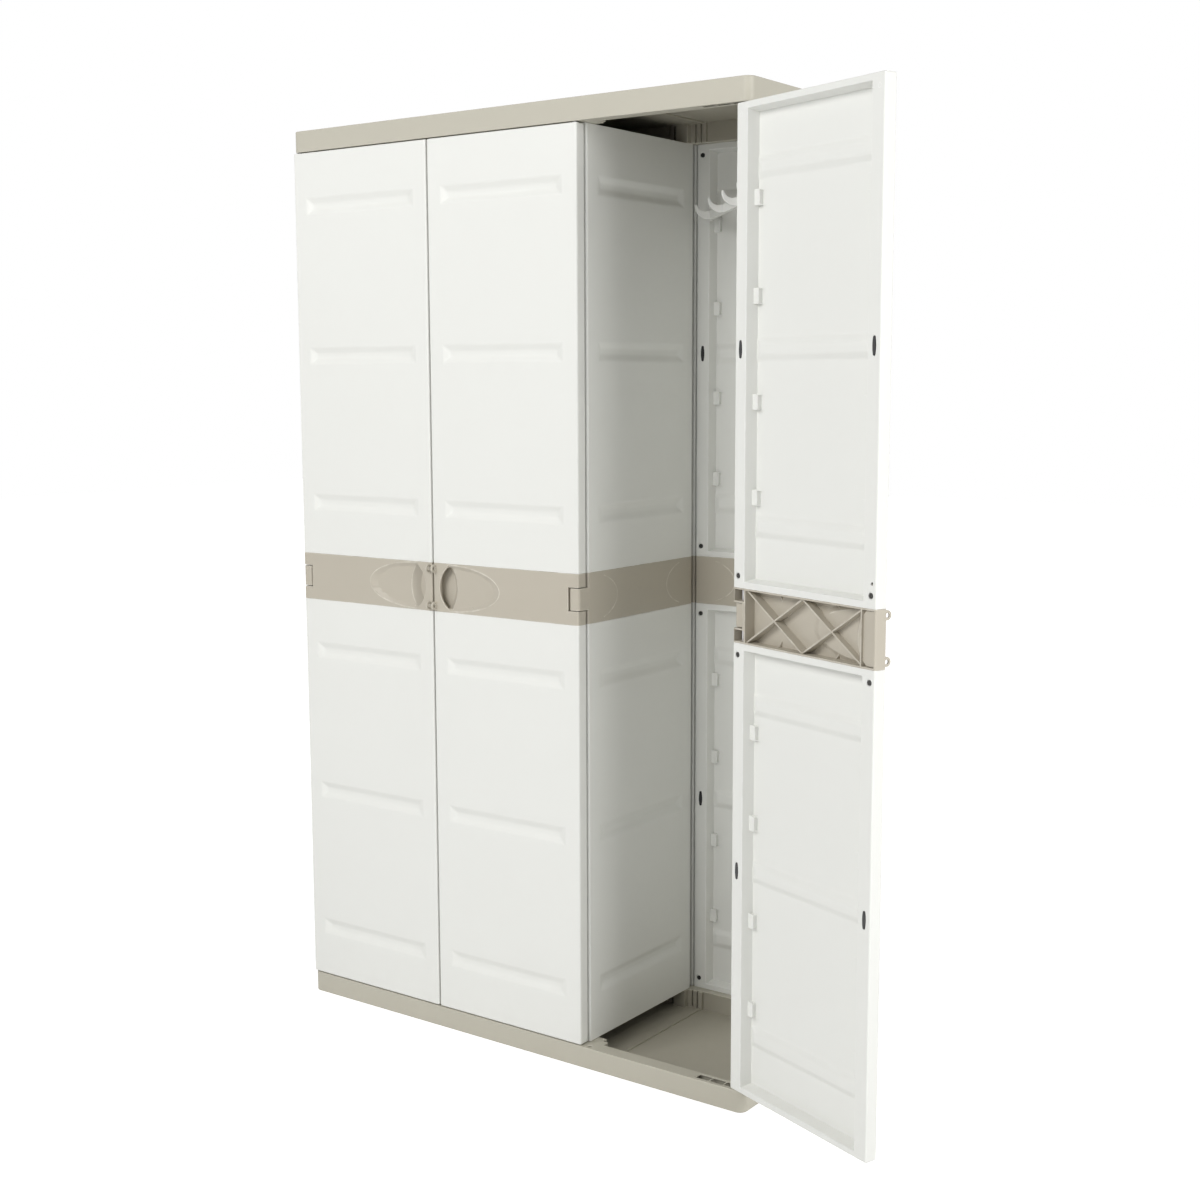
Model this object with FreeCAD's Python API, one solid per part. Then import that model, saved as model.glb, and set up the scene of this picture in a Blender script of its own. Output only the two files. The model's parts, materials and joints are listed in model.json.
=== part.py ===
import FreeCAD, Part
import math
import os

# Garden storage cabinet: three hinged doors, a wide compartment with shelves on the left
# and a tall narrow compartment on the right. All lengths in millimetres, angles in degrees.
# X runs along the front from left to right, Y from front to back, Z up. The origin is on the
# floor, in the middle of the base tray's footprint.

# Overall sizes
module_width = 350.0
module_count = 3
overall_height = 1760.0

# Trays at the foot and at the top; their depth follows from the doors, the partition and the back
tray_height = 40.5
tray_front_radius = 16.0
tray_back_radius = 6.0
tray_edge_radius = 1.5
tray_floor = 2.5
front_rim_depth = 30.0
rear_ledge = 15.0
tie_strip_width = 64.0
tie_strip_height = 3.0
post_margin = 1.5
fin_count = 3
fin_width = 9.0
fin_pitch = 12.0
fin_reach = 7.0
tab_width = 60.0
tab_step = 12.0
drain_pocket_length = 84.0
drain_pocket_depth = 16.0
drain_pocket_inset = 18.0
drain_pocket_setback = 8.0
drain_rib = 3.0

# Panels, one mould for doors and walls
panel_thickness = 24.0
skin = 3.0
stile_width = 28.0
rail_height = 11.0
side_gap = 1.5
front_corner_radius = 4.0
back_corner_radius = 3.0
flank_draft = 5.0
end_closure = 3.0
door_end_radius = 2.5

# Horizontal channels pressed into each panel's outer face
channel_margin = 33.5
channel_height = 32.0
channel_depth = 6.0
channel_mitre = 14.0
channel_slope = 11.0
channel_pitch = 291.5

# Small moulded clips on the inner flanks, which take shelf pegs and the hook rail
clip_pitch_inner = 86.0
clip_pitch_outer = 243.5
clip_height = 26.0
clip_reach = 16.0
clip_thickness = 8.0
clip_corner_radius = 3.5
clip_slot_reach = 6.0
clip_slot_thickness = 3.0

# Middle bands between the upper and lower panels
band_height = 94.0
brace_thickness = 3.0
brace_setback = 4.0
web_count = 3
gusset_height = 19.0
gusset_thickness = 2.5
tongue_length = 38.0
tongue_clearance = 0.5

# Hinges
hinge_inset = 12.0
hinge_setback = 10.0
wall_gap = 4.5
partition_rear_gap = 10.0
pivot_pin_radius = 4.0
band_pin_radius = 3.0
pin_clearance = 0.05
pivot_pin_engagement = 15.0
pivot_boss_radius = 8.0
door_end_gap = 2.0
knuckle_height = 40.5
knuckle_gap = 1.5
knuckle_inner_half = 10.5
knuckle_edge_gap = 0.5
knuckle_inner_radius = 5.0
knuckle_outer_radius = 6.5
notch_inner_half = 13.0
open_angle_in_photo = 159.5

# Handle: an oval dish with sloping sides, and a round scoop that runs in under a crescent-edged pull
dish_tip = 162.0
dish_centre = 40.0
dish_half_height = 44.0
dish_depth = 5.0
dish_side_slope = 7.0
dish_tip_slope = 16.0
scoop_radius = 74.0
scoop_deep_radius = 54.5
scoop_overhang = 11.0
pull_depth = 17.0
pull_thickness = 4.0
pull_mid_width = 16.0
pull_end_width = 37.0
pull_half_height = 40.0
finger_wall = 8.0
padlock_eye_offset = 36.0
padlock_eye_outer_radius = 8.0
padlock_eye_hole_radius = 3.5
padlock_eye_lift = 4.5
padlock_eye_thickness = 3.5
padlock_eye_edge = 3.5

# Black joining keys and screws
key_width = 7.5
key_height = 30.0
key_end_share = 0.65
key_inset = 14.0
key_length = 9.0
key_proud = 0.6
key_clearance = 0.3
screw_inset = 12.0
screw_end_distance = 20.0
screw_pocket_radius = 5.2
screw_pocket_depth = 2.2
screw_head_radius = 4.2
screw_head_height = 1.6
screw_cross_half = 2.2
screw_cross_depth = 0.5
screw_shank_radius = 2.0
screw_length = 13.0
screw_clearance = 0.1
pilot_run_out = 2.0
latch_hole_radius = 2.5
latch_hole_inset = 10.0
latch_hole_level = 38.5

# Shelves and the pegs under them
shelf_thickness = 20.0
shelf_skin = 3.0
shelf_corner_radius = 3.0
shelf_edge_radius = 1.5
shelf_side_gap = 1.0
shelf_front_gap = 4.0
shelf_rib_count = 6
peg_ledge = 16.0
peg_height = 12.0
peg_tongue = 12.0
peg_clearance = 0.3

# Hook rail across the tall compartment
rail_thickness = 9.0
rail_depth = 16.0
rail_drop = 5.0
rail_face_gap = 1.0
rail_wall_gap = 4.5
rail_foot_length = 14.0
rail_start = 5.0
hook_count = 4
hook_width = 8.0
hook_first = 31.0
hook_pitch = 120.0
hook_root = 4.0
hook_reach = 28.0
hook_rise = 25.0
hook_root_top = 15.0
hook_tip_width = 4.0
hook_outer_bulge_out = 20.0
hook_outer_bulge_up = 6.5
hook_inner_bulge_out = 18.0
hook_inner_bulge_up = 16.5

# Derived places
overall_width = module_width * module_count
half_width = overall_width / 2
panel_width = module_width - 2 * side_gap
tray_depth = 2 * panel_thickness + wall_gap + panel_width + partition_rear_gap
front_y = -tray_depth / 2
back_y = tray_depth / 2
wall_front_y = front_y + panel_thickness + wall_gap
back_inner_y = back_y - panel_thickness
side_wall_width = back_inner_y - side_gap - wall_front_y
axis_y = front_y + hinge_setback
partition_x = half_width - module_width
wall_panel_height = (overall_height - 2 * tray_height - band_height) / 2
door_panel_height = wall_panel_height - door_end_gap
band_bottom = (overall_height - band_height) / 2
band_top = band_bottom + band_height
recess_depth = panel_thickness - skin
cavity_width = stile_width - 2 * skin
cavity_thickness = panel_thickness - 2 * skin
notch_half_height = knuckle_height / 2 + knuckle_gap
clip_offset = (flank_draft + clip_reach) / 2
clip_mid_depth = skin + clip_thickness / 2
peg_reach_start = flank_draft + peg_clearance
peg_back_depth = skin + peg_clearance
clip_levels = [-clip_pitch_outer, -clip_pitch_inner, clip_pitch_inner, clip_pitch_outer]
channel_levels = [-channel_pitch, 0.0, channel_pitch]


def vec(x, y, z):
    return FreeCAD.Vector(x, y, z)


def box(x0, x1, y0, y1, z0, z1):
    """Block between two corners."""
    return Part.makeBox(x1 - x0, y1 - y0, z1 - z0, vec(x0, y0, z0))


def upright(radius, x, y, z0, z1):
    """Round bar along Z."""
    return Part.makeCylinder(radius, z1 - z0, vec(x, y, z0))


def turned(shape, angle, x=0.0, y=0.0):
    """Copy of a shape turned about an upright line through (x, y)."""
    copy = shape.copy()
    copy.rotate(vec(x, y, 0), vec(0, 0, 1), angle)
    return copy


def placed(shape, angle, x, y, z):
    """Copy of a shape turned about Z at its own origin, then moved."""
    copy = turned(shape, angle)
    copy.translate(vec(x, y, z))
    return copy


def flipped(shape, z):
    """Mirror image of a shape about the level z."""
    return shape.mirror(vec(0, 0, z), vec(0, 0, 1))


def swapped(shape, x):
    """Mirror image of a shape about the upright plane at x."""
    return shape.mirror(vec(x, 0, 0), vec(1, 0, 0))


def fused(shapes):
    """One solid from touching or overlapping shapes."""
    return shapes[0].multiFuse(shapes[1:]).removeSplitter()


def rounded_edges(shape, radius, wanted):
    """Fillet the edges whose middle point and direction the test accepts."""
    edges = []
    for edge in shape.Edges:
        start = edge.Vertexes[0].Point
        end = edge.Vertexes[-1].Point
        if wanted((start + end) * 0.5, end - start):
            edges.append(edge)
    return shape.makeFillet(radius, edges)


def runs_along_z(direction):
    return abs(direction.x) < 0.01 and abs(direction.y) < 0.01


def tapered_block(x0, x1, z0, z1, y0, y1, taper_x, taper_z):
    """Block that narrows by the tapers from y0 to y1."""
    wires = []
    for y, tx, tz in ((y0, 0.0, 0.0), (y1, taper_x, taper_z)):
        corners = [
            vec(x0 + tx, y, z0 + tz),
            vec(x1 - tx, y, z0 + tz),
            vec(x1 - tx, y, z1 - tz),
            vec(x0 + tx, y, z1 - tz),
        ]
        wires.append(Part.makePolygon(corners + [corners[0]]))
    return Part.makeLoft(wires, True, True)


def key_plug(width, height, y0, y1, x, z):
    """Upright spindle, widest in the middle and round at its ends, standing through the thickness."""
    half = width / 2
    neck = half * key_end_share
    end = height / 2
    shoulder = end - neck
    turns = [
        (neck, shoulder, half, 0.0, neck, -shoulder),
        (neck, -shoulder, 0.0, -end, -neck, -shoulder),
        (-neck, -shoulder, -half, 0.0, -neck, shoulder),
        (-neck, shoulder, 0.0, end, neck, shoulder),
    ]
    edges = []
    for x0, z0, x1, z1, x2, z2 in turns:
        arc = Part.Arc(vec(x + x0, y0, z + z0), vec(x + x1, y0, z + z1), vec(x + x2, y0, z + z2))
        edges.append(arc.toShape())
    return Part.Face(Part.Wire(edges)).extrude(vec(0, y1 - y0, 0))


def drill(radius, x, z, y0, y1):
    """Round hole tool through the thickness."""
    return Part.makeCylinder(radius, y1 - y0, vec(x, y0, z), vec(0, 1, 0))


def stile_slab(width, height):
    """Outer block of a panel or band: front face at y = 0, back face at y = panel_thickness."""
    slab = box(0, width, 0, panel_thickness, 0, height)
    middle = panel_thickness / 2
    slab = rounded_edges(slab, front_corner_radius, lambda mid, way: runs_along_z(way) and mid.y < middle)
    return rounded_edges(slab, back_corner_radius, lambda mid, way: runs_along_z(way) and mid.y > middle)


def stile_cavity(x_start, z0, z1):
    """Hollow inside one stile."""
    return box(x_start + skin, x_start + skin + cavity_width, skin, skin + cavity_thickness, z0, z1)


def clip(side, flank_x, z):
    """Moulded eye between a stile's flank and the recess floor; side is +1 where it points towards +x."""
    middle = flank_x + side * clip_offset
    far = flank_x + side * clip_reach
    body = box(
        min(flank_x, far),
        max(flank_x, far),
        skin / 2,
        skin + clip_thickness,
        z - clip_height / 2,
        z + clip_height / 2,
    )

    def outer_corner(mid, way):
        return abs(way.x) < 0.01 and abs(way.z) < 0.01 and abs(mid.x - far) < 0.01

    body = rounded_edges(body, clip_corner_radius, outer_corner)
    slot = box(
        middle - clip_slot_reach / 2,
        middle + clip_slot_reach / 2,
        clip_mid_depth - clip_slot_thickness / 2,
        clip_mid_depth + clip_slot_thickness / 2,
        z - clip_height,
        z + clip_height,
    )
    return body.cut(slot)


def panel(width, height, is_door):
    """Ribbed panel whose z = 0 end meets a band and whose other end meets a tray."""
    body = stile_slab(width, height)
    if is_door:
        body = rounded_edges(body, door_end_radius, lambda mid, way: mid.z > height - 0.01)
    recess = tapered_block(
        stile_width, width - stile_width, rail_height, height - rail_height,
        panel_thickness, skin, flank_draft, flank_draft,
    )
    body = body.cut(recess)
    for x_start in (0.0, width - stile_width):
        top = height - end_closure if is_door else height
        body = body.cut(stile_cavity(x_start, 0, top))
    middle = width / 2
    half = width / 2 - channel_margin
    backs = []
    hollows = []
    for level in channel_levels:
        z0 = height / 2 + level - channel_height / 2
        z1 = z0 + channel_height
        backs.append(
            tapered_block(
                middle - half - skin, middle + half + skin, z0 - skin, z1 + skin,
                skin, skin + channel_depth, channel_mitre, channel_slope,
            )
        )
        hollows.append(
            tapered_block(
                middle - half, middle + half, z0, z1,
                0, channel_depth, channel_mitre, channel_slope,
            )
        )
    clips = []
    for level in clip_levels:
        clips.append(clip(1, stile_width, height / 2 + level))
        clips.append(clip(-1, width - stile_width, height / 2 + level))
    body = body.multiFuse(backs + clips)
    cuts = list(hollows)
    screw_levels = [screw_end_distance]
    if not is_door:
        screw_levels.append(height - screw_end_distance)
    head_seat = panel_thickness - screw_pocket_depth
    beyond = panel_thickness + 1
    for side in (-1, 1):
        key_x = middle + side * (width / 2 - key_inset)
        screw_x = middle + side * (width / 2 - screw_inset)
        cuts.append(key_plug(key_width, key_height, recess_depth - 1, beyond, key_x, height / 2))
        for level in screw_levels:
            shank_bore = screw_shank_radius + screw_clearance
            cuts.append(drill(shank_bore, screw_x, level, recess_depth - 1, beyond))
            cuts.append(drill(screw_pocket_radius, screw_x, level, head_seat, beyond))
    body = body.cut(Part.makeCompound(cuts))
    if is_door:
        boss = box(
            skin, skin + cavity_width, skin, skin + cavity_thickness,
            height - end_closure - pivot_pin_engagement, height - end_closure,
        )
        bore = upright(
            pivot_pin_radius + pin_clearance, hinge_inset - side_gap, hinge_setback,
            height - pivot_pin_engagement, height + 1,
        )
        body = body.fuse(boss).cut(bore)
    return body.removeSplitter()


def tongues(width):
    """Four pegs that reach from a band into the hollow stiles above and below."""
    pegs = []
    for x_start in (0.0, width - stile_width):
        x0 = x_start + skin + tongue_clearance
        x1 = x_start + stile_width - skin - tongue_clearance
        y0 = skin + tongue_clearance
        y1 = panel_thickness - skin - tongue_clearance
        pegs.append(box(x0, x1, y0, y1, -tongue_length, skin))
        pegs.append(box(x0, x1, y0, y1, band_height - skin, band_height + tongue_length))
    return pegs


def screw_pilots(width, levels):
    """Pilot holes for the screws of both stiles at the given heights."""
    radius = screw_shank_radius + screw_clearance
    blind_end = panel_thickness - screw_length - pilot_run_out
    holes = []
    for x in (screw_inset, width - screw_inset):
        for level in levels:
            holes.append(drill(radius, x, level, blind_end, panel_thickness))
    return holes


def cross_braces(x0, x1):
    """Two crossed ribs that fill one bay of a band."""
    z0 = skin
    z1 = band_height - skin
    run = x1 - x0
    rise = z1 - z0
    length = math.hypot(run, rise) + 2 * brace_thickness
    angle = math.degrees(math.atan2(rise, run))
    braces = []
    for sign in (-1, 1):
        half = brace_thickness / 2
        bar = box(-length / 2, length / 2, skin, panel_thickness - brace_setback, -half, half)
        bar.rotate(vec(0, 0, 0), vec(0, 1, 0), sign * angle)
        bar.translate(vec((x0 + x1) / 2, 0, (z0 + z1) / 2))
        braces.append(bar)
    bay = box(x0, x1, 0, panel_thickness, z0, z1)
    return [brace.common(bay) for brace in braces]


def band_bay(x0, x1, y0=skin):
    """Hollow of one bay of a band, open at the back."""
    return box(x0, x1, y0, panel_thickness + 1, skin, band_height - skin)


def knuckle_edges(block, radius, y):
    """Round the upright edge of the knuckle's free end that lies at depth y."""

    def wanted(mid, way):
        return runs_along_z(way) and mid.x < 0 and abs(mid.y - y) < 1

    return rounded_edges(block, radius, wanted)


def wall_band(width, with_knuckle):
    """Fixed band, smooth on both faces and hollow. The knuckle stands ahead of its x = 0 edge."""
    body = stile_slab(width, band_height)
    inside = panel_thickness - skin
    hollow = box(skin, width - skin, skin, inside, skin, band_height - skin)
    mouth = box(stile_width, width - stile_width, skin, inside, -1, band_height + 1)
    body = body.cut(hollow.fuse(mouth))
    webs = []
    for index in range(1, web_count + 1):
        middle = index * width / (web_count + 1)
        webs.append(box(middle - skin / 2, middle + skin / 2, skin / 2, inside + skin / 2, 0, band_height))
    pilots = screw_pilots(width, [-screw_end_distance, band_height + screw_end_distance])
    body = body.multiFuse(webs + tongues(width)).cut(Part.makeCompound(pilots))
    if with_knuckle:
        reach = wall_gap + panel_thickness
        outer = knuckle_edge_gap
        inner = hinge_inset + knuckle_inner_half
        z0 = (band_height - knuckle_height) / 2
        block = box(-reach, skin, outer, inner, z0, z0 + knuckle_height)
        block = knuckle_edges(block, knuckle_outer_radius, outer)
        block = knuckle_edges(block, knuckle_inner_radius, inner)
        radius = band_pin_radius + pin_clearance
        bore = upright(radius, hinge_setback - reach, hinge_inset, z0 - 1, z0 + knuckle_height + 1)
        body = body.fuse(block).cut(bore)
    return body.removeSplitter()


def oval(x, y, z, long_half, short_half):
    """Upright ellipse facing the front."""
    rim = Part.Ellipse(vec(x, y, z), long_half, short_half).toShape()
    rim.rotate(vec(x, y, z), vec(1, 0, 0), 90)
    return Part.Wire([rim])


def handle_shape(width, grown):
    """Oval dish with sloping sides and a round scoop that runs in under the crescent pull.

    A grown one is larger by that much all round: the dish's own back, seen from behind."""
    mid_z = band_height / 2
    x_centre = width - dish_centre
    x_end = width - finger_wall + grown
    floor = dish_depth + grown
    wires = []
    section = []
    for y in (-1.0, floor):
        share = (y - grown) / dish_depth
        long_half = dish_tip - dish_centre + grown - share * dish_tip_slope
        short_half = dish_half_height + grown - share * dish_side_slope
        wires.append(oval(x_centre, y, mid_z, long_half, short_half))
        section.append((y, short_half))
    (y0, half0), (y1, half1) = section
    reach = 2 * dish_tip
    far = box(width - reach, x_centre, -1, floor, mid_z - reach, mid_z + reach)
    dish = Part.makeLoft(wires, True, True).common(far)
    corners = [
        vec(x_centre, y0, mid_z - half0),
        vec(x_centre, y1, mid_z - half1),
        vec(x_centre, y1, mid_z + half1),
        vec(x_centre, y0, mid_z + half0),
    ]
    near = Part.Face(Part.makePolygon(corners + [corners[0]])).extrude(vec(x_end - x_centre, 0, 0))
    deep = pull_depth + grown
    rate = (scoop_radius - scoop_deep_radius) / pull_depth
    centre = vec(width + scoop_overhang, 0, mid_z)
    scoop = Part.makeCone(scoop_radius + rate * grown, scoop_deep_radius, deep, centre, vec(0, 1, 0))
    half = pull_half_height + grown
    room = box(width - reach, x_end, 0, deep, mid_z - half, mid_z + half)
    return fused([dish, near, scoop.common(room)])


def pull_shell(width):
    """Thin crescent-edged cover over the deep end of the dish."""
    mid_z = band_height / 2
    top = vec(width - pull_end_width, 0, mid_z + pull_half_height)
    middle = vec(width - pull_mid_width, 0, mid_z)
    bottom = vec(width - pull_end_width, 0, mid_z - pull_half_height)
    edge_x = width - finger_wall + 1
    reach = dish_half_height + 1
    corners = [
        bottom,
        vec(width - pull_end_width, 0, mid_z - reach),
        vec(edge_x, 0, mid_z - reach),
        vec(edge_x, 0, mid_z + reach),
        vec(width - pull_end_width, 0, mid_z + reach),
        top,
    ]
    edges = [Part.LineSegment(corners[i], corners[i + 1]).toShape() for i in range(len(corners) - 1)]
    edges.append(Part.Arc(top, middle, bottom).toShape())
    face = Part.Face(Part.Wire(Part.__sortEdges__(edges)))
    return face.extrude(vec(0, pull_thickness, 0))


def padlock_eye(width, z):
    """Ring that stands ahead of the band at its free edge, with its hole along x."""
    x0 = width - padlock_eye_edge - padlock_eye_thickness
    x1 = x0 + padlock_eye_thickness
    outer = padlock_eye_outer_radius
    ring = Part.makeCylinder(outer, padlock_eye_thickness, vec(x0, -padlock_eye_lift, z), vec(1, 0, 0))
    foot = box(x0, x1, -padlock_eye_lift, skin, z - outer, z + outer)
    hole_start = vec(x0 - 1, -padlock_eye_lift, z)
    hole = Part.makeCylinder(padlock_eye_hole_radius, padlock_eye_thickness + 2, hole_start, vec(1, 0, 0))
    return ring.fuse(foot).cut(hole)


def gusset(x, z, side):
    """Concave web that ties the band's front to its top or bottom plate; side is +1 at the bottom."""
    reach_y = panel_thickness - brace_setback - skin
    face = Part.Face(Part.makePolygon([
        vec(x, skin, z), vec(x, skin + reach_y, z), vec(x, skin, z + side * gusset_height), vec(x, skin, z)
    ]))
    web = face.extrude(vec(gusset_thickness, 0, 0))
    hollow_radius = (reach_y ** 2 + gusset_height ** 2) / (2 * gusset_height)
    scoop_start = vec(x - 1, skin + reach_y, z + side * hollow_radius)
    scoop = Part.makeCylinder(hollow_radius, gusset_thickness + 2, scoop_start, vec(1, 0, 0))
    return web.cut(scoop)


def door_band():
    """Moving band of a door hinged at x = 0, with the handle at its free edge."""
    width = panel_width
    mid_z = band_height / 2
    body = stile_slab(width, band_height)
    axis_x = hinge_inset - side_gap
    notch_x = axis_x + notch_inner_half
    notch_z0 = mid_z - notch_half_height
    notch_z1 = mid_z + notch_half_height
    hinge_rib = max(stile_width, notch_x) + skin
    free_rib = width - stile_width - 2 * skin
    centre = (hinge_rib + free_rib) / 2
    hollows = [
        box(skin, hinge_rib - skin, skin, panel_thickness + 1, notch_z1 + skin, band_height - skin),
        box(skin, hinge_rib - skin, skin, panel_thickness + 1, skin, notch_z0 - skin),
        band_bay(hinge_rib, width - skin),
    ]
    body = body.cut(Part.makeCompound(hollows))
    ribs = cross_braces(hinge_rib, centre) + cross_braces(centre, free_rib)
    ribs.append(box(free_rib, free_rib + skin, skin, panel_thickness, skin, band_height - skin))
    for x in ((hinge_rib + centre) / 2, (centre + free_rib) / 2):
        ribs.append(gusset(x, skin / 2, 1))
        ribs.append(gusset(x, band_height - skin / 2, -1))
    room = box(skin / 2, width - skin / 2, skin / 2, panel_thickness, skin / 2, band_height - skin / 2)
    swelling = handle_shape(width, skin).common(room)
    body = body.multiFuse(ribs + tongues(width) + [swelling])
    body = body.cut(handle_shape(width, 0.0))
    eyes = [padlock_eye(width, mid_z + side * padlock_eye_offset) for side in (-1, 1)]
    body = body.multiFuse([pull_shell(width)] + eyes)
    notch = box(-1, notch_x, -1, panel_thickness + 1, notch_z0, notch_z1)
    socket = skin / 2
    bore = upright(band_pin_radius + pin_clearance, axis_x, hinge_setback, socket, band_height - socket)
    cuts = [notch, bore] + screw_pilots(width, [-screw_end_distance, band_height + screw_end_distance])
    return body.cut(Part.makeCompound(cuts)).removeSplitter()


def key_pair(width, height):
    """Two black keys, one in the middle of each stile."""
    keys = []
    for x in (key_inset, width - key_inset):
        keys.append(
            key_plug(
                key_width - 2 * key_clearance, key_height - 2 * key_clearance,
                panel_thickness - key_length, panel_thickness + key_proud, x, height / 2,
            )
        )
    return keys


def screw(x, z):
    """Pan-head screw driven in from the panel's back face, its head sunk in a pocket."""
    seat = panel_thickness - screw_pocket_depth
    top = seat + screw_head_height
    head = drill(screw_head_radius, x, z, seat, top)
    shank = drill(screw_shank_radius, x, z, panel_thickness - screw_length, top)
    half = screw_cross_half
    bar = screw_cross_depth
    cross = [
        box(x - half, x + half, top - bar, top + 1, z - bar / 2, z + bar / 2),
        box(x - bar / 2, x + bar / 2, top - bar, top + 1, z - half, z + half),
    ]
    return head.fuse(shank).cut(Part.makeCompound(cross)).removeSplitter()


def screw_pair(width, level):
    return [screw(x, level) for x in (screw_inset, width - screw_inset)]


def tray_pegs(width):
    """Pegs for both stiles of a wall panel, standing on the rim at z = 0."""
    pegs = []
    for x_start in (0.0, width - stile_width):
        x0 = x_start + skin + tongue_clearance
        x1 = x_start + stile_width - skin - tongue_clearance
        y0 = skin + tongue_clearance
        y1 = panel_thickness - skin - tongue_clearance
        pegs.append(box(x0, x1, y0, y1, -skin, tongue_length))
    return Part.makeCompound(pegs).cut(Part.makeCompound(screw_pilots(width, [screw_end_distance])))


def wall_place(name, turn, x, y, width):
    """One fixed wall: its turn about Z, the place of its panels' own corner, and its width."""
    return {"name": name, "turn": turn, "x": x, "y": y, "width": width}


left_wall = wall_place("left_wall", -90.0, -half_width, wall_front_y + side_wall_width, side_wall_width)
right_wall = wall_place("right_wall", 90.0, half_width, wall_front_y, side_wall_width)
partition = wall_place("partition", 90.0, partition_x, wall_front_y, panel_width)
back_columns = []
for column, column_name in enumerate(("back_left", "back_middle", "back_right")):
    column_x = -half_width + (column + 1) * module_width - side_gap
    back_columns.append(wall_place(column_name, 180.0, column_x, back_y, panel_width))
hinge_walls = [left_wall, right_wall, partition]
walls = hinge_walls + back_columns


def on_wall(shape, wall, z):
    """Copy of a shape drawn in a panel's own frame, put on a wall at height z."""
    return placed(shape, wall["turn"], wall["x"], wall["y"], z)


def rounded_plan(block, front_radius, back_radius):
    """Round a tray's upright corners, the front pair more than the back pair."""
    block = rounded_edges(block, front_radius, lambda mid, way: runs_along_z(way) and mid.y < 0)
    return rounded_edges(block, back_radius, lambda mid, way: runs_along_z(way) and mid.y > 0)


def tray():
    """Base tray; the cap is the same tray turned over."""
    outer = box(-half_width, half_width, front_y, back_y, 0, tray_height)
    outer = rounded_plan(outer, tray_front_radius, tray_back_radius)
    outer = rounded_edges(outer, tray_edge_radius, lambda mid, way: mid.z < 0.01)
    well_x = half_width - panel_thickness
    well_y0 = front_y + front_rim_depth
    well_y1 = back_inner_y - rear_ledge
    well = box(-well_x, well_x, well_y0, well_y1, tray_floor, tray_height + 1)
    body = outer.cut(well)
    ring_x = half_width - skin
    ring = box(-ring_x, ring_x, front_y + skin, back_y - skin, tray_floor, tray_height - skin)
    ring = rounded_plan(ring, tray_front_radius - skin, tray_back_radius - skin)
    core = box(-well_x - skin, well_x + skin, well_y0 - skin, well_y1 + skin, 0, tray_height)
    body = body.cut(ring.cut(core))
    stile_start_y = wall_front_y + panel_width - stile_width
    root_z = tray_floor / 2
    root_y0 = well_y0 - skin / 2
    root_y1 = well_y1 + skin / 2
    strip_x = tie_strip_width / 2
    strip_top = tray_floor + tie_strip_height
    partition_middle = partition_x - panel_thickness / 2
    post_x = panel_thickness / 2 + post_margin
    post_y = stile_start_y + skin + tongue_clearance
    extras = [
        box(partition_x - strip_x, partition_x + strip_x, root_y0, root_y1, root_z, strip_top),
        box(partition_middle - post_x, partition_middle + post_x, post_y, root_y1, root_z, tray_height),
    ]
    for side in (-1, 1):
        for index in range(fin_count):
            near = partition_middle + side * (post_x + index * fin_pitch)
            far = near + side * fin_width
            fin_x0 = min(near, far)
            extras.append(box(fin_x0, fin_x0 + fin_width, well_y1 - fin_reach, root_y1, root_z, tray_height))
    tab_x = partition_x + tab_width / 2
    tab_y = wall_front_y + stile_width
    tab = box(partition_x - tab_width / 2, tab_x, root_y0, tab_y, root_z, tray_height)
    step = box(tab_x - tab_step, tab_x + 1, tab_y - tab_step, tab_y + 1, 0, tray_height + 1)
    extras.append(tab.cut(step))
    boss_z = tray_height - pivot_pin_engagement
    for x in pivot_places():
        extras.append(upright(pivot_boss_radius, x, axis_y, boss_z, tray_height - skin / 2))
    for wall in walls:
        extras.append(on_wall(tray_pegs(wall["width"]), wall, tray_height))
    body = body.multiFuse(extras)
    bore_radius = pivot_pin_radius + pin_clearance
    cuts = [upright(bore_radius, x, axis_y, boss_z - 1, tray_height + 1) for x in pivot_places()]
    for side in (-1, 1):
        cuts.extend(drain_pocket(side))
    return body.cut(Part.makeCompound(cuts)).removeSplitter()


def pivot_places():
    """X of the pivot holes in each tray: the three in use and one spare at the tall compartment's left."""
    return [
        -half_width + hinge_inset,
        partition_x - hinge_inset,
        partition_x + hinge_inset,
        half_width - hinge_inset,
    ]


def drain_pocket(side):
    """Three openings in a row through the front ledge, near one end."""
    cell = (drain_pocket_length - 2 * drain_rib) / 3
    y0 = front_y + drain_pocket_setback
    cells = []
    for index in range(3):
        x0 = half_width - drain_pocket_inset - drain_pocket_length + index * (cell + drain_rib)
        pocket_z = tray_height - skin - 1
        cells.append(box(x0, x0 + cell, y0, y0 + drain_pocket_depth, pocket_z, tray_height + 1))
    return [swapped(cell_box, 0) if side < 0 else cell_box for cell_box in cells]


def shelf():
    """Shelf with a turned-down rim and ribs below; its top is at z = shelf_thickness."""
    x0 = -half_width + panel_thickness + shelf_side_gap
    x1 = partition_x - panel_thickness - shelf_side_gap
    y0 = wall_front_y + shelf_front_gap
    y1 = back_inner_y - shelf_side_gap
    body = box(x0, x1, y0, y1, 0, shelf_thickness)
    body = rounded_edges(body, shelf_corner_radius, lambda mid, way: runs_along_z(way))
    body = rounded_edges(body, shelf_edge_radius, lambda mid, way: mid.z > shelf_thickness - 0.01)
    pitch = (x1 - x0 - shelf_skin) / (shelf_rib_count + 1)
    hollows = []
    for index in range(shelf_rib_count + 1):
        cell_x = x0 + shelf_skin + index * pitch
        cell_end = cell_x + pitch - shelf_skin
        ceiling = shelf_thickness - shelf_skin
        hollows.append(box(cell_x, cell_end, y0 + shelf_skin, y1 - shelf_skin, -1, ceiling))
    return body.cut(Part.makeCompound(hollows))


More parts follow.
